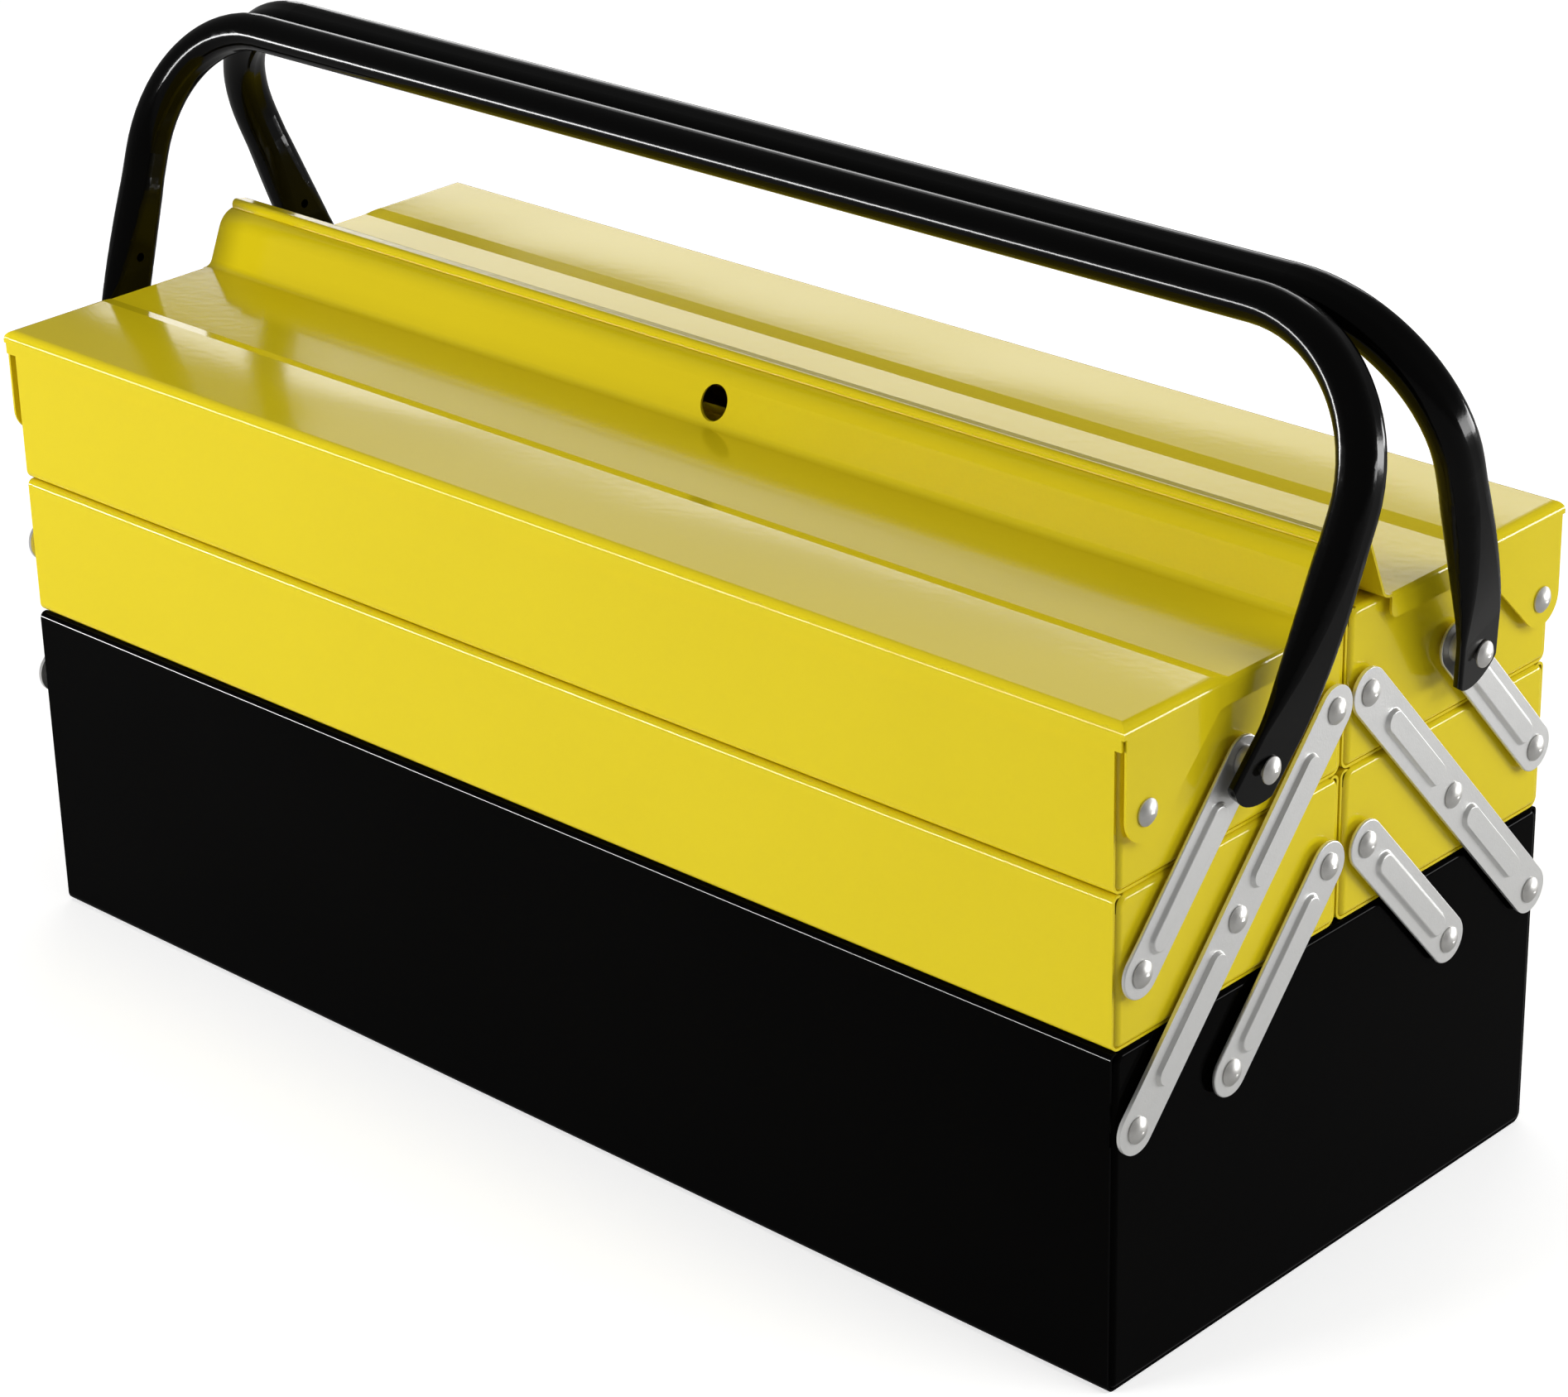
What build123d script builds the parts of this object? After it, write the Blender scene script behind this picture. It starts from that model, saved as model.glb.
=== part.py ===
from build123d import *
import os
from math import asin, atan2, cos, degrees, hypot, radians, sin, tan

# Cantilever tool box in millimetres: a base bin, two trays a side on parallel links,
# two lids that meet on a raised ridge, and two carrying handles.
# X runs along the box, +Z is up, and the origin is on the floor under its middle.
# Each piece is drawn for the rear right quarter, where u is +Y, and mirrored from there.

# Box and trays
body_length = 450.0
base_depth = 196.8
base_height = 106.0
lower_tray_height = 46.3
upper_tray_height = 47.8
tray_inset = 0.5
tray_split = 1.0
stack_gap = 0.3

# Sheet steel of the bins: one wrap for walls and floor, one pressed panel for each end
sheet = 0.8
seat_gap = 0.05
floor_bend = 3.0
rim_width = 4.2
rim_lip = 5.0
rim_bend = 2.0
panel_raise = 1.0
panel_depth = 9.0
panel_edge = 2.0
panel_corner = 3.5

# Pivot places, from the walls and rims that carry them
base_pivot_drop = 24.0
outer_pivot_inset = 7.1
inner_pivot_u = 7.7
pivot_trim = 1.1
lid_pivot_inset = 8.7
lid_pivot_drop = 25.1

# Rivets, and their clearances
shank_radius = 2.4
shank_gap = 0.02
pivot_gap = 0.08
open_pivot_gap = 0.15
axial_gap = 0.1
head_radius = 3.9
head_height = 1.9
head_edge = 0.4
tail_height = 1.2
collar_radius = 4.2
link_collar = 1.5
lid_collar = 2.0
spacer_radius = 4.5
spacer_height = 3.2

# Links: flat bars with a pressed rib
link_sheet = 1.2
link_width = 14.6
rib_width = 7.6
rib_raise = 1.3
rib_taper = 28.0
rib_from_end = 13.0
rib_from_middle = 9.6
rib_from_foot = 6.2
rib_from_tray = 8.6
rib_from_handle = 12.5

# Lids
lid_wall_gap = 0.2
lid_flange = 7.5
lid_end_flange = 7.8
lid_edge_bend = 2.8
lid_end_bend = 2.0
lid_slit = 0.1
step_height = 1.2
step_u = 58.0
step_run = 5.4
ear_radius = 8.5
ear_slope = 45.0
ear_corner = 3.0

# Ridge where the lids meet, as heights above the inner strip of the lid
ridge_foot_u = 13.0
ridge_foot_bend = 3.0
front_ridge_bend = 8.0
rear_ridge_bend = 3.0
ridge_gap = 0.3
front_shoulder_u = 6.3
front_shoulder_rise = 15.8
front_lip_rise = 17.1
rear_shoulder_u = 5.3
rear_shoulder_rise = 18.8
bead_overlap = 1.7
bead_rise = 20.2
bead_drop = 3.4
bead_bend = 1.7
padlock_radius = 5.25
padlock_rise = 6.6

# Handles: a steel tube bent to a U, with its ends pressed flat
# The flat lug leans in toward the box from its knee, where the leg's line meets it
handle_length = 117.1
tube_across = 14.4
tube_thickness = 11.8
tube_corner = 5.7
handle_bend = 44.5
handle_splay = 5.9
handle_gap = 0.3
lug_width = 18.8
lug_thickness = 3.0
lug_edge = 1.2
lug_slant = 15.0
lug_top = 10.0
lug_tail = 11.5
lug_crown = 4.8
knee_rise = 20.0
neck_below_grip = 55.1
neck_steps = 5
vent_radius = 1.5
vent_from_pivot = 36.0

# Planes and pivots worked out from the sizes above
half_length = body_length / 2
base_u = base_depth / 2
tray_inner_u = tray_split / 2
tray_outer_u = base_u - tray_inset
face_x = half_length + panel_raise
lower_floor_z = base_height + stack_gap
lower_rim_z = lower_floor_z + lower_tray_height
upper_floor_z = lower_rim_z + stack_gap
upper_rim_z = upper_floor_z + upper_tray_height
tray_pitch = lower_tray_height + stack_gap

base_pivot_z = base_height - base_pivot_drop
lower_pivot_z = base_pivot_z + tray_pitch
upper_pivot_z = lower_pivot_z + tray_pitch
base_out_u = base_u - outer_pivot_inset
link_reach = (base_out_u - inner_pivot_u) / 2
pivot_spacing = link_reach - pivot_trim
base_in_u = base_out_u - pivot_spacing
low_mid_u = base_out_u - link_reach
low_in_u = low_mid_u - pivot_spacing
low_out_u = low_mid_u + pivot_spacing
handle_u = inner_pivot_u + pivot_spacing
lid_pivot_u = tray_outer_u - lid_pivot_inset
lid_pivot_z = upper_rim_z - lid_pivot_drop

link_length = hypot(link_reach, tray_pitch)
link_angle = degrees(atan2(tray_pitch, -link_reach))
link_x = face_x + link_collar + axial_gap
link_outer_x = link_x + link_sheet
spacer_x = link_outer_x + axial_gap
lug_half_x = lug_thickness / 2 / cos(radians(lug_slant))
lug_inside_x = spacer_x + spacer_height + axial_gap
lug_middle_x = lug_inside_x + lug_half_x + spacer_radius * tan(radians(lug_slant))
lug_outside_x = lug_middle_x + lug_half_x + head_radius * tan(radians(lug_slant))
knee_x = lug_middle_x + knee_rise * tan(radians(lug_slant))
neck_top = handle_length - neck_below_grip
lid_inner_x = face_x + lid_collar + axial_gap
lid_outer_x = lid_inner_x + sheet

strip_z = upper_rim_z + stack_gap + sheet
top_z = strip_z + step_height
lid_edge_u = tray_outer_u + lid_wall_gap + sheet
pan_start_u = ridge_foot_u + ridge_foot_bend


def mirrored_ends(shape):
    """The right and the left copy of a piece drawn at the right end."""
    return [shape, mirror(shape, about=Plane.YZ)]


def bent_strip(points, bends, half_width):
    """A strip of sheet along X whose outer face follows the points, metal on their left."""
    outer_line = FilletPolyline(*points, radius=bends)
    section = make_face(offset(outer_line, amount=sheet, side=Side.LEFT).edges())
    return extrude(Plane.YZ * section, amount=half_width, both=True)


def pin(x_start, x_end, radius, u, z):
    """A round bar along X."""
    return Pos((x_start + x_end) / 2, u, z) * Rot(0, 90, 0) * Cylinder(radius, x_end - x_start)


def bin_wrap(left_u, right_u, floor_z, rim_z):
    """Walls and floor of a bin, bent from one sheet, with the rims curled inwards."""
    left_curl = left_u + rim_width
    right_curl = right_u - rim_width
    points = [
        (left_curl, rim_z - rim_lip),
        (left_curl, rim_z),
        (left_u, rim_z),
        (left_u, floor_z),
        (right_u, floor_z),
        (right_u, rim_z),
        (right_curl, rim_z),
        (right_curl, rim_z - rim_lip),
    ]
    bends = [rim_bend, rim_bend, floor_bend, floor_bend, rim_bend, rim_bend]
    return bent_strip(points, bends, half_length)


def rounded_slab(left_u, right_u, low_z, high_z, low_radius, high_radius, x_start, x_end, edge):
    """A slab with rounded corners and a rounded outer edge, as one half of a pressing."""
    outline = FilletPolyline(
        (left_u, low_z),
        (right_u, low_z),
        (right_u, high_z),
        (left_u, high_z),
        radius=[low_radius, low_radius, high_radius, high_radius],
        close=True,
    )
    slab = extrude(Plane.YZ.offset(x_start) * make_face(outline), amount=x_end - x_start)
    return fillet(slab.faces().sort_by(Axis.X)[-1].edges(), radius=edge)


def end_panel(left_u, right_u, floor_z, rim_z, rivet_places):
    """Pressed end of a bin: its flange sits inside the wrap and its face stands out past it."""
    wall = sheet + seat_gap
    left, right, floor = left_u + wall, right_u - wall, floor_z + wall
    back_x = face_x - panel_depth
    low_radius = floor_bend - sheet
    outer = rounded_slab(
        left, right, floor, rim_z, low_radius, panel_corner, back_x, face_x, panel_edge
    )
    inner = rounded_slab(
        left + sheet,
        right - sheet,
        floor + sheet,
        rim_z - sheet,
        low_radius - sheet,
        panel_corner - sheet,
        back_x - sheet,
        face_x - sheet,
        panel_edge - sheet,
    )
    panel = outer - inner
    notch_x = half_length + seat_gap
    notch_width = rim_width + seat_gap
    notch_height = rim_lip + seat_gap
    for u in (left_u + notch_width / 2, right_u - notch_width / 2):
        notch = Box(notch_x - back_x + sheet, notch_width, notch_height)
        panel -= Pos((notch_x + back_x - sheet) / 2, u, rim_z - notch_height / 2) * notch
    for u, z in rivet_places:
        panel -= pin(face_x - panel_depth, face_x + sheet, shank_radius + shank_gap, u, z)
    return panel


def rivet(u, z, collar, grip):
    """Domed rivet through an end panel, with the collar that carries what turns on it."""
    inside_x = face_x - sheet
    collar_x = face_x + collar
    head_x = collar_x + grip
    crown_x = head_x + head_height
    steps = Polyline(
        (crown_x, 0),
        (inside_x - tail_height, 0),
        (inside_x - tail_height, head_radius),
        (inside_x, head_radius),
        (inside_x, shank_radius),
        (face_x, shank_radius),
        (face_x, collar_radius),
        (collar_x, collar_radius),
        (collar_x, shank_radius),
        (head_x, shank_radius),
        (head_x, head_radius),
        (head_x + head_edge, head_radius),
    )
    dome = TangentArc(
        (crown_x, 0), (head_x + head_edge, head_radius), tangent=(0, 1)
    )
    profile = make_face(steps.edges() + dome.edges())
    return Pos(0, u, z) * revolve(profile, axis=Axis.X)


def link(u, z, length, holes, ribs):
    """Link from a pivot at (u, z), with holes and pressed ribs at distances along it."""
    flat = Pos(length / 2, 0, 0) * SlotCenterToCenter(length, link_width)
    bar = extrude(flat, amount=link_sheet)
    for start, end in ribs:
        middle = Pos((start + end) / 2, 0, 0)
        rib = SlotOverall(end - start, rib_width)
        hollow = offset(rib, amount=-link_sheet / 2)
        bar += extrude(middle * Pos(0, 0, link_sheet) * rib, amount=rib_raise, taper=rib_taper)
        bar -= extrude(middle * hollow, amount=rib_raise, taper=rib_taper)
    for distance, gap in holes:
        bar -= Pos(distance, 0, 0) * Cylinder(shank_radius + gap, 3 * link_sheet)
    along = (0, cos(radians(link_angle)), sin(radians(link_angle)))
    return Plane(origin=(link_x, u, z), x_dir=along, z_dir=(1, 0, 0)) * bar


def lid_block(inset, inner_u, low_z):
    """A lid's form filled down to low_z, its skin moved in by the inset."""
    side_x = lid_outer_x - inset
    across = make_face(
        FilletPolyline(
            (inner_u, low_z),
            (inner_u, strip_z - inset),
            (step_u - step_run / 2, strip_z - inset),
            (step_u + step_run / 2, top_z - inset),
            (lid_edge_u - inset, top_z - inset),
            (lid_edge_u - inset, low_z),
            radius=[0, 0, 0, 0, lid_edge_bend - inset, 0],
            close=True,
        )
    )
    end_bend = lid_end_bend - inset
    along = make_face(
        FilletPolyline(
            (-side_x, low_z),
            (side_x, low_z),
            (side_x, top_z - inset),
            (-side_x, top_z - inset),
            radius=[0, 0, end_bend + step_height, end_bend + step_height],
            close=True,
        )
    )
    block = extrude(Plane.YZ * across, amount=side_x, both=True)
    return block & extrude(Plane.XZ * along, amount=2 * lid_edge_u, both=True)


def lid_pan():
    """The flat of a lid with its step, its long flange and its two end flanges with ears."""
    ear_low_z = lid_pivot_z - ear_radius
    end_z = strip_z - lid_end_flange
    shell = lid_block(0, pan_start_u, ear_low_z - sheet)
    shell -= lid_block(sheet, pan_start_u - sheet, ear_low_z - 2 * sheet)

    slope = radians(ear_slope)
    tangent_u = lid_pivot_u - ear_radius * sin(slope)
    tangent_z = lid_pivot_z - ear_radius * cos(slope)
    slope_u = tangent_u - (end_z - tangent_z) / tan(slope)
    middle = (slope - radians(90)) / 2
    ear_edge_u = lid_pivot_u + ear_radius
    outline = make_face(
        FilletPolyline(
            (pan_start_u, top_z),
            (pan_start_u, end_z),
            (slope_u, end_z),
            (tangent_u, tangent_z),
            radius=[ear_corner, ear_corner],
        ).edges()
        + ThreePointArc(
            (tangent_u, tangent_z),
            (lid_pivot_u - ear_radius * sin(middle), lid_pivot_z - ear_radius * cos(middle)),
            (ear_edge_u, lid_pivot_z),
        ).edges()
        + Polyline((ear_edge_u, lid_pivot_z), (ear_edge_u, top_z), (pan_start_u, top_z)).edges()
    )
    end_zone = extrude(Plane.YZ * outline, amount=lid_outer_x, both=True)
    flange_low_z = top_z - lid_flange
    flange_zone = Box(
        2 * (lid_inner_x - lid_slit),
        lid_edge_u,
        lid_flange,
        align=(Align.CENTER, Align.MIN, Align.MIN),
    )
    corner_zone = Box(
        2 * lid_outer_x,
        lid_edge_u,
        lid_edge_bend + step_height,
        align=(Align.CENTER, Align.MIN, Align.MAX),
    )
    zone = end_zone + Pos(0, 0, flange_low_z) * flange_zone + Pos(0, 0, top_z) * corner_zone
    return shell & zone


def lid(crest, crest_bends):
    """A lid: the pan, and the ridge strip that runs its whole length, drilled for a padlock."""
    points = [(pan_start_u, strip_z), (ridge_foot_u, strip_z)]
    points += [(u, strip_z + rise) for u, rise in crest]
    whole = lid_pan() + bent_strip(points, [ridge_foot_bend] + crest_bends, lid_outer_x)
    padlock = Pos(0, 0, strip_z + padlock_rise) * Rot(90, 0, 0)
    whole -= padlock * Cylinder(padlock_radius, 2 * pan_start_u)
    whole -= pin(-2 * half_length, 2 * half_length, shank_radius + pivot_gap, lid_pivot_u, lid_pivot_z)
    return whole


def neck_section(t):
    """The tube's section on its way from the lug, at t = 0, to the round leg, at t = 1."""
    slant = radians(lug_slant)
    lug_end = Vector(lug_middle_x + lug_top * sin(slant), 0, lug_top * cos(slant))
    knee = Vector(knee_x, 0, knee_rise)
    leg_slope = handle_splay / (handle_length - knee_rise)
    leg_start = Vector(knee_x + leg_slope * (neck_top - knee_rise), 0, neck_top)
    centre = lug_end * (1 - t) ** 2 + knee * (2 * t * (1 - t)) + leg_start * t**2
    along = (knee - lug_end) * (1 - t) + (leg_start - knee) * t
    rounding = t * t * (3 - 2 * t)
    width = lug_width + (tube_across - lug_width) * t**2
    thickness = lug_thickness + (tube_thickness - lug_thickness) * rounding
    corner = lug_edge + (tube_corner - lug_edge) * rounding
    place = Plane(origin=centre, x_dir=(0, 1, 0), z_dir=along)
    return place * RectangleRounded(width, thickness, corner)


def handle_end():
    """The flattened end of a leg: a lug with a hole across it, and the neck up to the tube."""
    slant = radians(lug_slant)
    along = Vector(sin(slant), 0, cos(slant))
    face = Plane(
        origin=(lug_middle_x, 0, 0), x_dir=(0, 1, 0), z_dir=(cos(slant), 0, -sin(slant))
    )
    half_width = lug_width / 2
    shoulder = lug_crown - lug_tail
    outline = make_face(
        Polyline(
            (-half_width, shoulder), (-half_width, lug_top), (half_width, lug_top), (half_width, shoulder)
        ).edges()
        + ThreePointArc((half_width, shoulder), (0, -lug_tail), (-half_width, shoulder)).edges()
    )
    foot = Plane(
        origin=Vector(lug_middle_x, 0, 0) - along * lug_tail, x_dir=(0, 1, 0), z_dir=along
    )
    lug = extrude(
        foot * RectangleRounded(lug_width, lug_thickness, lug_edge), amount=lug_tail + lug_top
    )
    lug &= extrude(face * outline, amount=lug_thickness, both=True)
    lug -= pin(lug_inside_x - lug_thickness, lug_outside_x, shank_radius + pivot_gap, 0, 0)
    neck = loft([neck_section(step / neck_steps) for step in range(neck_steps + 1)])
    return lug + neck


def handle():
    """Handle in its own plane, X along the grip and Z along the legs, then leant to rest."""
    corner_x = knee_x + handle_splay
    leg_slope = handle_splay / (handle_length - knee_rise)
    leg_x = knee_x + leg_slope * (neck_top - knee_rise)
    path = FilletPolyline(
        (leg_x, 0, neck_top),
        (corner_x, 0, handle_length),
        (-corner_x, 0, handle_length),
        (-leg_x, 0, neck_top),
        radius=[handle_bend, handle_bend],
    )
    end = handle_end()
    bow = sweep(neck_section(1), path=path) + end + mirror(end, about=Plane.YZ)
    vent_x = knee_x + leg_slope * (vent_from_pivot - knee_rise)
    bow -= pin(-vent_x, tube_thickness - vent_x, vent_radius, 0, vent_from_pivot)

    # Both grips meet over the middle when the handles stand up
    tube_half = tube_thickness / 2
    tube_flat = (tube_across - tube_thickness) / 2
    reach = handle_u - tube_half - handle_gap / 2
    lean = degrees(asin(reach / hypot(handle_length, tube_flat)) - atan2(tube_flat, handle_length))
    return Pos(0, handle_u, upper_pivot_z) * Rot(lean, 0, 0) * bow


def write(name, shape):
    export_step(shape, f"parts/{name}.step")


def write_ends(name, shape):
    """A piece at each end of the box."""
    right, left = mirrored_ends(shape)
    write(f"{name}_right", right)
    write(f"{name}_left", left)


def write_group(name, shapes):
    """Like pieces at both ends, as separate solids in one file."""
    solids = []
    for shape in shapes:
        for copy in mirrored_ends(shape):
            solids += copy.solids()
    write(name, Compound(solids))


os.makedirs("parts", exist_ok=True)

# Base bin
base_places = [(base_out_u, base_pivot_z), (base_in_u, base_pivot_z)]
base_places += [(-u, z) for u, z in base_places]
link_grip = link_sheet + 2 * axial_gap
write("base_wrap", bin_wrap(-base_u, base_u, 0, base_height))
write_ends("base_end", end_panel(-base_u, base_u, 0, base_height, base_places))
write_group("base_rivets", [rivet(u, z, link_collar, link_grip) for u, z in base_places])

# Trays
lower_places = [(u, lower_pivot_z) for u in (low_in_u, low_mid_u, low_out_u)]
upper_places = [(inner_pivot_u, upper_pivot_z), (handle_u, upper_pivot_z), (lid_pivot_u, lid_pivot_z)]
handle_grip = lug_outside_x + axial_gap - face_x - link_collar
lid_grip = sheet + 2 * axial_gap
spacer = pin(spacer_x, spacer_x + spacer_height, spacer_radius, handle_u, upper_pivot_z)
spacer -= pin(spacer_x - sheet, lug_middle_x, shank_radius + shank_gap, handle_u, upper_pivot_z)

lower_wrap = bin_wrap(tray_inner_u, tray_outer_u, lower_floor_z, lower_rim_z)
upper_wrap = bin_wrap(tray_inner_u, tray_outer_u, upper_floor_z, upper_rim_z)
lower_end = end_panel(tray_inner_u, tray_outer_u, lower_floor_z, lower_rim_z, lower_places)
upper_end = end_panel(tray_inner_u, tray_outer_u, upper_floor_z, upper_rim_z, upper_places)
lower_rivets = [rivet(u, z, link_collar, link_grip) for u, z in lower_places]
upper_rivet = rivet(inner_pivot_u, upper_pivot_z, link_collar, link_grip)
handle_rivet = rivet(handle_u, upper_pivot_z, link_collar, handle_grip)
lid_rivet = rivet(lid_pivot_u, lid_pivot_z, lid_collar, lid_grip)

# Links: the long one carries both trays, the short ones keep them level
long_ribs = [
    (rib_from_end, link_length - rib_from_middle),
    (link_length + rib_from_middle, 2 * link_length - rib_from_end),
]
long_holes = [(0, pivot_gap), (link_length, pivot_gap), (2 * link_length, pivot_gap)]
short_holes = [(0, pivot_gap), (link_length, open_pivot_gap)]
lower_ribs = [(rib_from_foot, link_length - rib_from_tray)]
upper_ribs = [(rib_from_foot, link_length - rib_from_handle)]
long_link = link(base_out_u, base_pivot_z, 2 * link_length, long_holes, long_ribs)
lower_link = link(base_in_u, base_pivot_z, link_length, short_holes, lower_ribs)
upper_link = link(low_out_u, lower_pivot_z, link_length, short_holes, upper_ribs)

# Lids: the rear one ends in a bead that hangs over the edge of the front one
front_crest = [
    (front_shoulder_u, front_shoulder_rise),
    (bead_overlap + ridge_gap, front_lip_rise),
]
rear_crest = [
    (rear_shoulder_u, rear_shoulder_rise),
    (-bead_overlap, bead_rise),
    (-bead_overlap, bead_rise - bead_drop),
]
lids = {
    "front": lid(front_crest, [front_ridge_bend]),
    "rear": lid(rear_crest, [rear_ridge_bend, bead_bend]),
}
bow_handle = handle()

for side in ("front", "rear"):

    def place(shape):
        return mirror(shape, about=Plane.XZ) if side == "front" else shape

    write(f"{side}_lower_tray_wrap", place(lower_wrap))
    write_ends(f"{side}_lower_tray_end", place(lower_end))
    write_group(f"{side}_lower_tray_rivets", [place(piece) for piece in lower_rivets])
    write(f"{side}_upper_tray_wrap", place(upper_wrap))
    write_ends(f"{side}_upper_tray_end", place(upper_end))
    write_group(f"{side}_upper_tray_rivets", [place(upper_rivet)])
    write_group(f"{side}_handle_rivets", [place(handle_rivet)])
    write_group(f"{side}_handle_spacers", [place(spacer)])
    write_group(f"{side}_lid_rivets", [place(lid_rivet)])
    write_ends(f"{side}_long_link", place(long_link))
    write_ends(f"{side}_lower_link", place(lower_link))
    write_ends(f"{side}_upper_link", place(upper_link))
    write(f"{side}_lid", place(lids[side]))
    write(f"{side}_handle", place(bow_handle))
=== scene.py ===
import math

import bmesh
import bpy
from mathutils import Matrix, Vector


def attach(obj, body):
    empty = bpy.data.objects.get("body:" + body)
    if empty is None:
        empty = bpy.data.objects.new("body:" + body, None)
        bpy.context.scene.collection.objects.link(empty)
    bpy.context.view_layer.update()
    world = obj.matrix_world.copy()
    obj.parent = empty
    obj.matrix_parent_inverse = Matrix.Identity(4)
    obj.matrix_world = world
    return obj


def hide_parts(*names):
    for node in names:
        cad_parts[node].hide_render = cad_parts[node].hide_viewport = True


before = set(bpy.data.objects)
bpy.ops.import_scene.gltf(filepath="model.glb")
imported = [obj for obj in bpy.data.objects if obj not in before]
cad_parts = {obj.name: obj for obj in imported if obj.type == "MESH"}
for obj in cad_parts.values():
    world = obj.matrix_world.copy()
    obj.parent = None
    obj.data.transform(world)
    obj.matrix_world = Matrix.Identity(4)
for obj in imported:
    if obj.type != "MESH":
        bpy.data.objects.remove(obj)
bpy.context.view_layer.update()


# Base bin
# One deep bin of 0.8 mm steel: a wrap bent to walls and floor, and two pressed end panels
# riveted inside it. It is dipped in black enamel and baked to a high gloss.
class Shade:
    """A socket of a material. Arithmetic on it adds Math nodes, and make() adds any other node."""

    def __init__(self, tree, socket=None):
        self.tree = tree
        self.socket = socket

    def make(self, kind, sockets, out=0, **settings):
        """A node of that kind, with its settings, then a value or a link in each named socket."""
        node = self.tree.nodes.new("ShaderNode" + kind)
        for name, setting in settings.items():
            setattr(node, name, setting)
        for name, value in sockets.items():
            if isinstance(value, Shade):
                self.tree.links.new(value.socket, node.inputs[name])
            else:
                node.inputs[name].default_value = value
        return Shade(self.tree, node.outputs[out])

    def maths(self, operation, first, second):
        return self.make("Math", {0: first, 1: second}, operation=operation)

    def __add__(self, other):
        return self.maths("ADD", self, other)

    def __sub__(self, other):
        return self.maths("SUBTRACT", self, other)

    def __rsub__(self, other):
        return self.maths("SUBTRACT", other, self)

    def __mul__(self, other):
        return self.maths("MULTIPLY", self, other)

    __radd__ = __add__
    __rmul__ = __mul__


def finish(name, **constants):
    """A new material and its shader, with what is the same all over set on the shader."""
    material = bpy.data.materials.new(name)
    material.use_nodes = True
    shader = material.node_tree.nodes["Principled BSDF"]
    for socket, value in constants.items():
        shader.inputs[socket.replace("_", " ")].default_value = value
    return material, shader, Shade(material.node_tree)


def mottle(shade, place, size, detail=2.0):
    """Smooth blotches from 0 to 1, each about that size in metres."""
    return shade.make("TexNoise", {"Vector": place, "Scale": 1 / size, "Detail": detail})


def blend(shade, share, first, second):
    """A colour between two, where the share is that of the second."""
    first_colour, second_colour, colour_out = 6, 7, 2
    return shade.make(
        "Mix",
        {"Factor": share, first_colour: (*first, 1.0), second_colour: (*second, 1.0)},
        out=colour_out,
        data_type="RGBA",
    )


def enamel(name, colour, shadow, specular, gloss=(0.07, 0.12), dent=None):
    """Baked enamel: two tones in soft clouds, fine grain, the ripple of orange peel, and dents."""
    cloud_size, peel_size, grain_size = 0.09, 0.0030, 0.0007
    peel_strength, peel_depth, grain_in_peel, grain_in_gloss = 0.35, 0.00006, 0.25, 0.05
    millimetre, refraction = 0.001, 1.52
    material, shader, shade = finish(name, Specular_IOR_Level=specular, IOR=refraction)
    place = shade.make("TexCoord", {}, out="Object")
    cloud = mottle(shade, place, cloud_size)
    peel = mottle(shade, place, peel_size)
    grain = mottle(shade, place, grain_size)
    tone = blend(shade, cloud, colour, shadow)
    smoothest, dullest = gloss
    roughness = smoothest + (dullest - smoothest) * cloud + grain_in_gloss * grain
    ripple = peel + grain_in_peel * grain
    bump = shade.make(
        "Bump", {"Strength": peel_strength, "Distance": peel_depth, "Height": ripple}
    )
    if dent:
        height = dent(shade, place)
        bump = shade.make(
            "Bump",
            {"Strength": 1.0, "Distance": millimetre, "Height": height, "Normal": bump},
        )
    links = material.node_tree.links
    links.new(tone.socket, shader.inputs["Base Color"])
    links.new(roughness.socket, shader.inputs["Roughness"])
    links.new(bump.socket, shader.inputs["Normal"])
    return material


def coat(material, *nodes):
    """Gives CAD nodes that material in place of their plain one."""
    for node in nodes:
        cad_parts[node].data.materials.clear()
        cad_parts[node].data.materials.append(material)


black, brown_black = (0.0007, 0.0007, 0.0007), (0.0012, 0.0011, 0.001)
black_enamel = enamel("black_enamel", black, brown_black, specular=0.025)
coat(black_enamel, "base_wrap", "base_end_left", "base_end_right")


# Trays
# Two tiers of shallow trays, one front and one rear on each, made as the base bin is: a bent
# wrap and two pressed ends. They are enamelled in yellow before the links are riveted on.
yellow, deep_yellow = (0.84, 0.675, 0.013), (0.80, 0.635, 0.009)
yellow_enamel = enamel("yellow_enamel", yellow, deep_yellow, specular=0.4)
sides = ("front", "rear")
ends = ("left", "right")
for side in sides:
    for tray in ("lower", "upper"):
        coat(yellow_enamel, f"{side}_{tray}_tray_wrap")
        coat(yellow_enamel, *(f"{side}_{tray}_tray_end_{end}" for end in ends))


# Lids
# Two pressed pans that meet on a raised ridge with a padlock hole through it. Each has a low
# step along it, a flange that laps its tray, and ears that hang on rivets at the tray's ends.
def lid_dents(shade, place):
    """Height in millimetres of a thin pressed lid: a shallow gutter along the outer side of the
    step, deeper in some places, and long slow waves."""
    step_edge, gutter_width, gutter_depth = 0.0607, 0.024, 1.1
    wave_size, wave_height = 0.14, 0.5
    across = shade.make("SeparateXYZ", {"Vector": place}, out="Y")
    across = shade.make("Math", {0: across}, operation="ABSOLUTE")
    rise = shade.make(
        "MapRange",
        {"Value": across, "From Min": step_edge, "From Max": step_edge + gutter_width},
    )
    wave = mottle(shade, place, wave_size, detail=1.0)
    return gutter_depth * wave * rise * (2 - rise) + wave_height * wave


lid_enamel = enamel("lid_enamel", yellow, deep_yellow, specular=0.4, dent=lid_dents)
coat(lid_enamel, "front_lid", "rear_lid")


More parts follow.
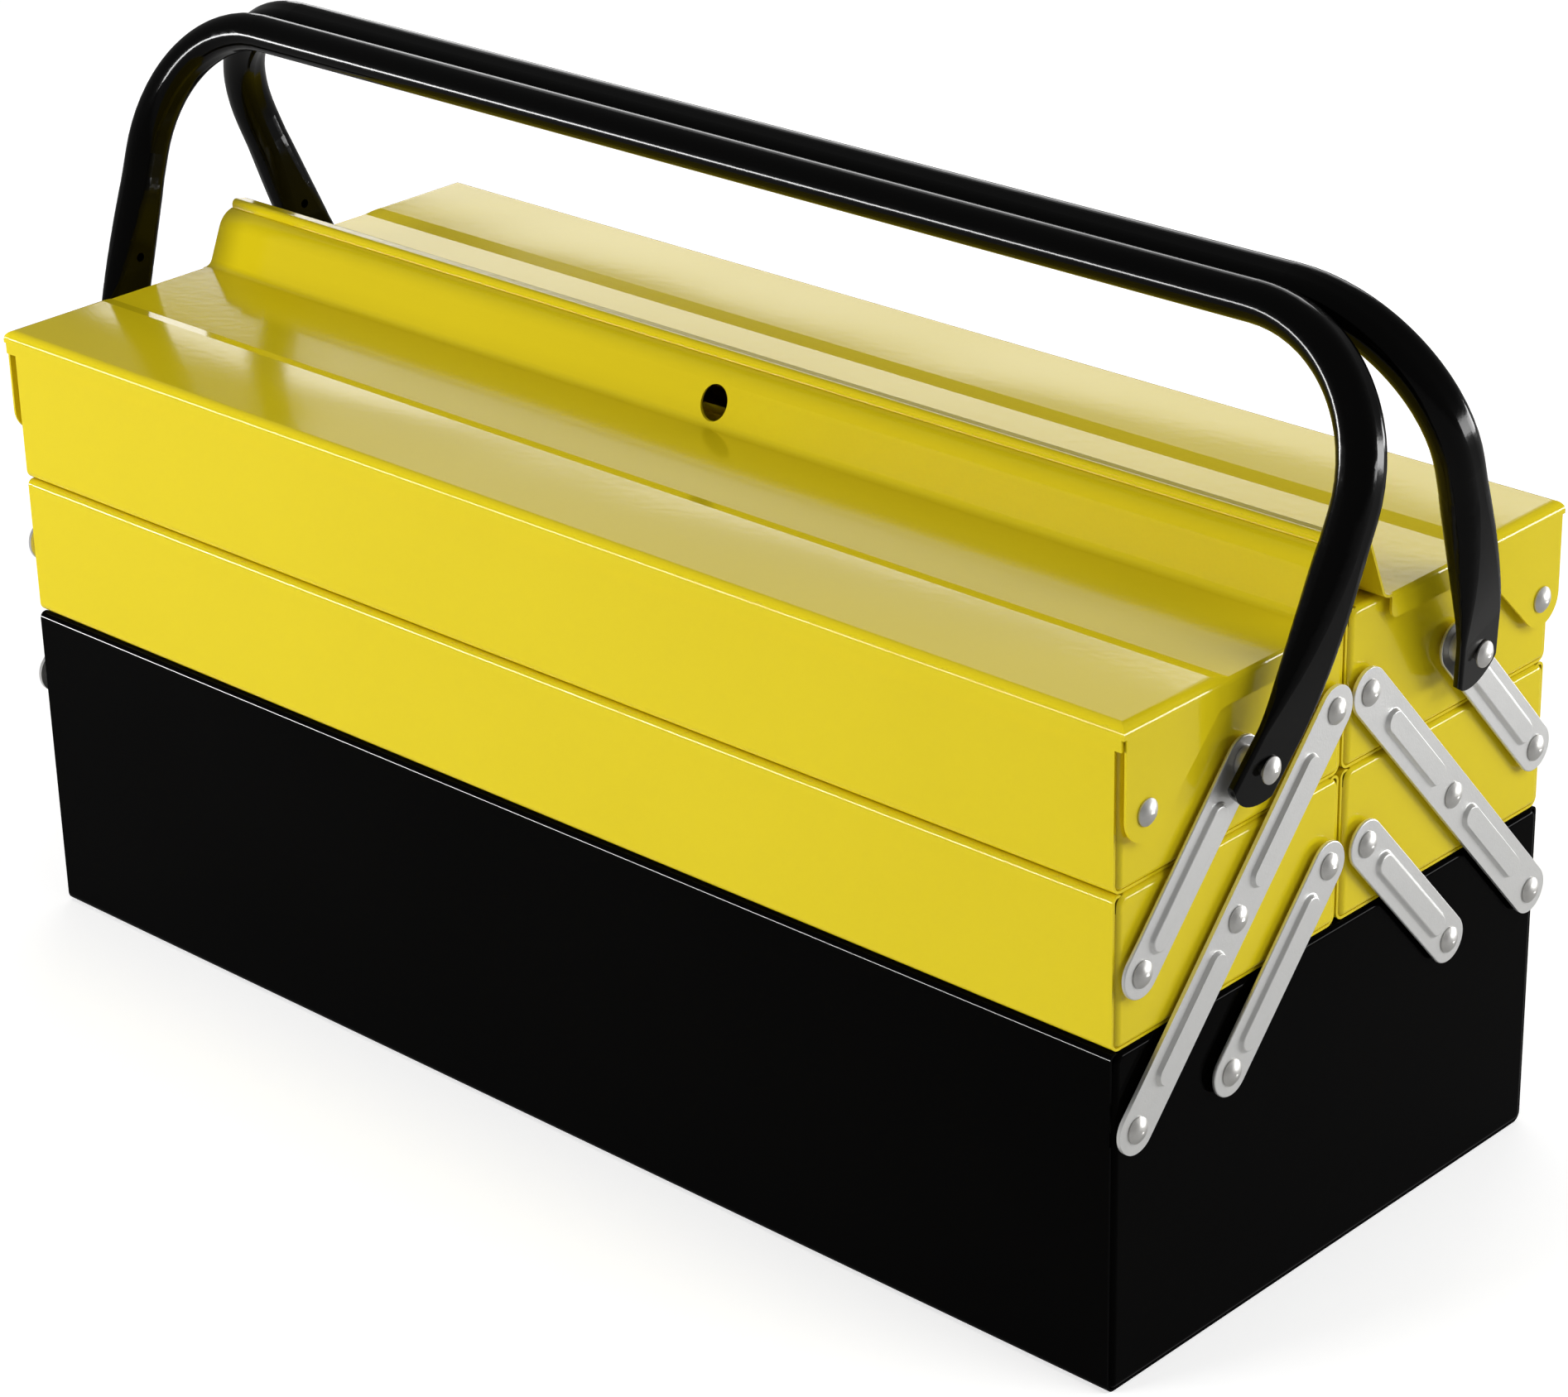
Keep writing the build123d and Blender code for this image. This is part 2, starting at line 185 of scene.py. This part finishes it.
# Links
# Flat bars of 1.2 mm steel with a pressed rib, round at both ends, blanked in one stroke and
# zinc plated, so they are bright with a faint grain and soft edges.
def plating(name, bright, dull, metallic, rough, grain_size, dent_depth):
    """Zinc plate: bright metal with a cloudy tone, a fine grain and slight dents."""
    cloud_size, cloud_in_gloss, dent_strength = 0.006, 0.12, 0.5
    material, shader, shade = finish(name, Metallic=metallic)
    place = shade.make("TexCoord", {}, out="Object")
    cloud = mottle(shade, place, cloud_size, detail=4.0)
    grain = mottle(shade, place, grain_size, detail=3.0)
    tone = blend(shade, cloud, bright, dull)
    roughness = rough + cloud_in_gloss * cloud
    bump = shade.make(
        "Bump", {"Strength": dent_strength, "Distance": dent_depth, "Height": grain}
    )
    links = material.node_tree.links
    links.new(tone.socket, shader.inputs["Base Color"])
    links.new(roughness.socket, shader.inputs["Roughness"])
    links.new(bump.socket, shader.inputs["Normal"])
    return material


def soften(node, body, material, radius):
    """Puts a smooth copy in a CAD node's place, its facets merged and its sharp edges rounded.
    Folds between large faces stay crisp."""
    merge_distance, flat_angle, sharp_angle = 0.000002, math.radians(0.3), math.radians(28)
    fold_angle, large_area, round_segments = math.radians(6), 0.0005, 3
    shape = bmesh.new()
    shape.from_mesh(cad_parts[node].data)
    bmesh.ops.remove_doubles(shape, verts=shape.verts, dist=merge_distance)
    bmesh.ops.dissolve_limit(
        shape, angle_limit=flat_angle, verts=shape.verts, edges=shape.edges, delimit=set()
    )
    sharp = [
        edge for edge in shape.edges if edge.is_manifold and edge.calc_face_angle() > sharp_angle
    ]
    bmesh.ops.bevel(
        shape, geom=sharp, offset=radius, offset_type="OFFSET", affect="EDGES",
        segments=round_segments, profile=0.5, material=-1, clamp_overlap=True,
    )
    for face in shape.faces:
        face.smooth = True
    for edge in shape.edges:
        if edge.is_manifold and edge.calc_face_angle() > fold_angle:
            edge.smooth = min(face.calc_area() for face in edge.link_faces) < large_area
    mesh = bpy.data.meshes.new(f"{node}_soft")
    shape.to_mesh(mesh)
    shape.free()
    mesh.materials.append(material)
    piece = bpy.data.objects.new(f"{node}_soft", mesh)
    bpy.context.scene.collection.objects.link(piece)
    weighting = piece.modifiers.new("flat faces stay flat", "WEIGHTED_NORMAL")
    weighting.keep_sharp = True
    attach(piece, body)
    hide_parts(node)


link_edge_radius = 0.0004
zinc_links = plating(
    "zinc_links",
    bright=(0.98, 0.98, 0.97),
    dull=(0.86, 0.86, 0.84),
    metallic=0.72,
    rough=0.32,
    grain_size=0.0007,
    dent_depth=0.00008,
)
for side in sides:
    for link in ("long_link", "lower_link", "upper_link"):
        for end in ends:
            node = f"{side}_{link}_{end}"
            soften(node, f"{side}_{link}s", zinc_links, link_edge_radius)


# Rivets
# Domed steel rivets, zinc plated, with the collar that each link turns on. Peening leaves
# their heads slightly uneven.
zinc_rivets = plating(
    "zinc_rivets",
    bright=(0.86, 0.85, 0.83),
    dull=(0.62, 0.61, 0.58),
    metallic=0.8,
    rough=0.34,
    grain_size=0.0016,
    dent_depth=0.0001,
)
coat(zinc_rivets, "base_rivets")
for side in sides:
    coat(zinc_rivets, f"{side}_lower_tray_rivets", f"{side}_upper_tray_rivets")
    coat(zinc_rivets, f"{side}_handle_rivets", f"{side}_handle_spacers", f"{side}_lid_rivets")


# Handles
# Steel tube bent to a wide U, its ends pressed flat to lugs for the rivets. It has gloss
# black enamel, thicker and glossier than that of the base.
handle_enamel = enamel(
    "handle_enamel", black, brown_black, specular=0.13, gloss=(0.07, 0.11)
)
coat(handle_enamel, "front_handle", "rear_handle")


# Camera
# It stands at the photograph's place, to the front right of the box and above it, and looks
# down at its middle through a lens of about 100 mm.
right = Vector((0.73112229, 0.68188727, -0.02213498))
up = Vector((-0.27207849, 0.32116922, 0.90709626))
stand = Vector((0.85772119, -0.88395789, 0.67773726))
camera_data = bpy.data.cameras.new("camera")
camera_data.lens = 100.67
camera_data.sensor_width = 36.0
camera_data.sensor_fit = "HORIZONTAL"
camera = bpy.data.objects.new("camera", camera_data)
bpy.context.scene.collection.objects.link(camera)
turn = Matrix((right, up, right.cross(up))).transposed()
camera.matrix_world = Matrix.Translation(stand) @ turn.to_4x4()
bpy.context.scene.camera = camera


# Floor
# A plain white studio floor that runs out of the view on every side and keeps the box's
# shadow. It glows a little to the camera and in mirrors, so it is white where nothing shades it.
def glow(shade, seen_strength, mirrored_strength):
    """One strength where the camera looks, also through glass, and another in mirrors."""
    seen = shade.make("LightPath", {}, out="Is Camera Ray")
    through = shade.make("LightPath", {}, out="Is Transmission Ray")
    mirrored = shade.make("LightPath", {}, out="Is Glossy Ray")
    return seen_strength * (seen + through) + mirrored_strength * mirrored, mirrored


floor_half_width = 6.0
white, pale_grey, dark_grey = (1.0, 1.0, 1.0), (0.82, 0.82, 0.82), (0.2, 0.2, 0.2)
floor_mesh = bpy.data.meshes.new("floor")
floor_shape = bmesh.new()
bmesh.ops.create_grid(floor_shape, x_segments=1, y_segments=1, size=floor_half_width)
floor_shape.to_mesh(floor_mesh)
floor_shape.free()
floor = bpy.data.objects.new("floor", floor_mesh)
bpy.context.scene.collection.objects.link(floor)
floor_paint, floor_shader, floor_shade = finish(
    "floor_paint", Roughness=0.9, Specular_IOR_Level=0.0, Emission_Color=(*white, 1.0)
)
floor_glow, mirrored = glow(floor_shade, 0.6, 0.2)
floor_tone = blend(floor_shade, mirrored, pale_grey, dark_grey)
floor_links = floor_paint.node_tree.links
floor_links.new(floor_tone.socket, floor_shader.inputs["Base Color"])
floor_links.new(floor_glow.socket, floor_shader.inputs["Emission Strength"])
floor_mesh.materials.append(floor_paint)


# Lights
# Soft boxes round the table: two behind to the left that the lids mirror, a key in front, a
# fill at the right end, one low behind the right end for the plated links, and one overhead.
def soft_box(name, place, aim, size, level, roll=0.0):
    """A rectangular lamp whose face has that level, where 1 is white, rolled by that angle."""
    width, height = size
    data = bpy.data.lights.new(name, "AREA")
    data.shape = "RECTANGLE"
    data.size = width
    data.size_y = height
    data.energy = level * math.pi * width * height
    lamp = bpy.data.objects.new(name, data)
    toward = Vector(aim) - Vector(place)
    facing = toward.to_track_quat("-Z", "Y").to_matrix().to_4x4()
    lamp.matrix_world = Matrix.Translation(place) @ facing @ Matrix.Rotation(roll, 4, "Z")
    bpy.context.scene.collection.objects.link(lamp)
    return lamp


banner, rear_roll = (1.36, 0.45), -0.28
soft_box("rear_box", (-0.87, 1.33, 0.66), (0.22, 0.16, 0.66), banner, 2.3, rear_roll)
soft_box("rear_haze", (-0.79, 1.27, 1.13), (0.30, 0.10, 1.13), banner, 0.8, rear_roll)
key_box = soft_box("key_box", (-0.85, -1.75, 0.45), (0.0, 0.0, 0.12), (0.9, 0.7), 14.2)
fill_box = soft_box("fill_box", (1.50, 0.40, 1.20), (0.15, 0.0, 0.12), (1.2, 1.0), 3.3)
soft_box("plate_box", (1.10, 1.30, 0.13), (0.2, 0.0, 0.10), (1.2, 0.24), 13.4)
overhead_box = soft_box("overhead_box", (-0.2, 0.0, 2.1), (0.0, 0.0, 0.2), (1.4, 1.4), 1.9)
overhead_box.data.color = (1.0, 0.97, 0.93)
for lamp in (key_box, fill_box, overhead_box):
    lamp.visible_glossy = False


# Gleams
# A long low card at the front left that shows only as a thin line of light on the rounded
# edges of the base, the handles, the front trays and the front lid, each at its own level.
card_place, card_aim, card_size = (-1.0, -1.12, 0.09), (0.0, 0.0, 0.25), (1.6, 0.12)
for name, level, nodes in (
    ("base_gleam", 420.0, ("base_wrap",)),
    ("tube_gleam", 65.0, ("front_handle", "rear_handle")),
    ("tray_gleam", 34.0, ("front_lower_tray_wrap", "front_upper_tray_wrap")),
    ("lid_gleam", 18.0, ("front_lid",)),
):
    card = soft_box(name, card_place, card_aim, card_size, level)
    card.visible_diffuse = False
    receivers = bpy.data.collections.new(name)
    for node in nodes:
        receivers.objects.link(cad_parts[node])
    card.light_linking.receiver_collection = receivers


# Room
# A dim white room. It is white where the camera looks at it, and its faint light softens the
# shadows.
room_level = 0.06
room = bpy.data.worlds.new("room")
room.use_nodes = True
background = room.node_tree.nodes["Background"]
background.inputs["Color"].default_value = (*white, 1.0)
room_glow, mirrored = glow(Shade(room.node_tree), 1.0 - room_level, 0.1)
brightness = room_level + room_glow
room.node_tree.links.new(brightness.socket, background.inputs["Strength"])
bpy.context.scene.world = room
bpy.context.scene.view_settings.view_transform = "Standard"
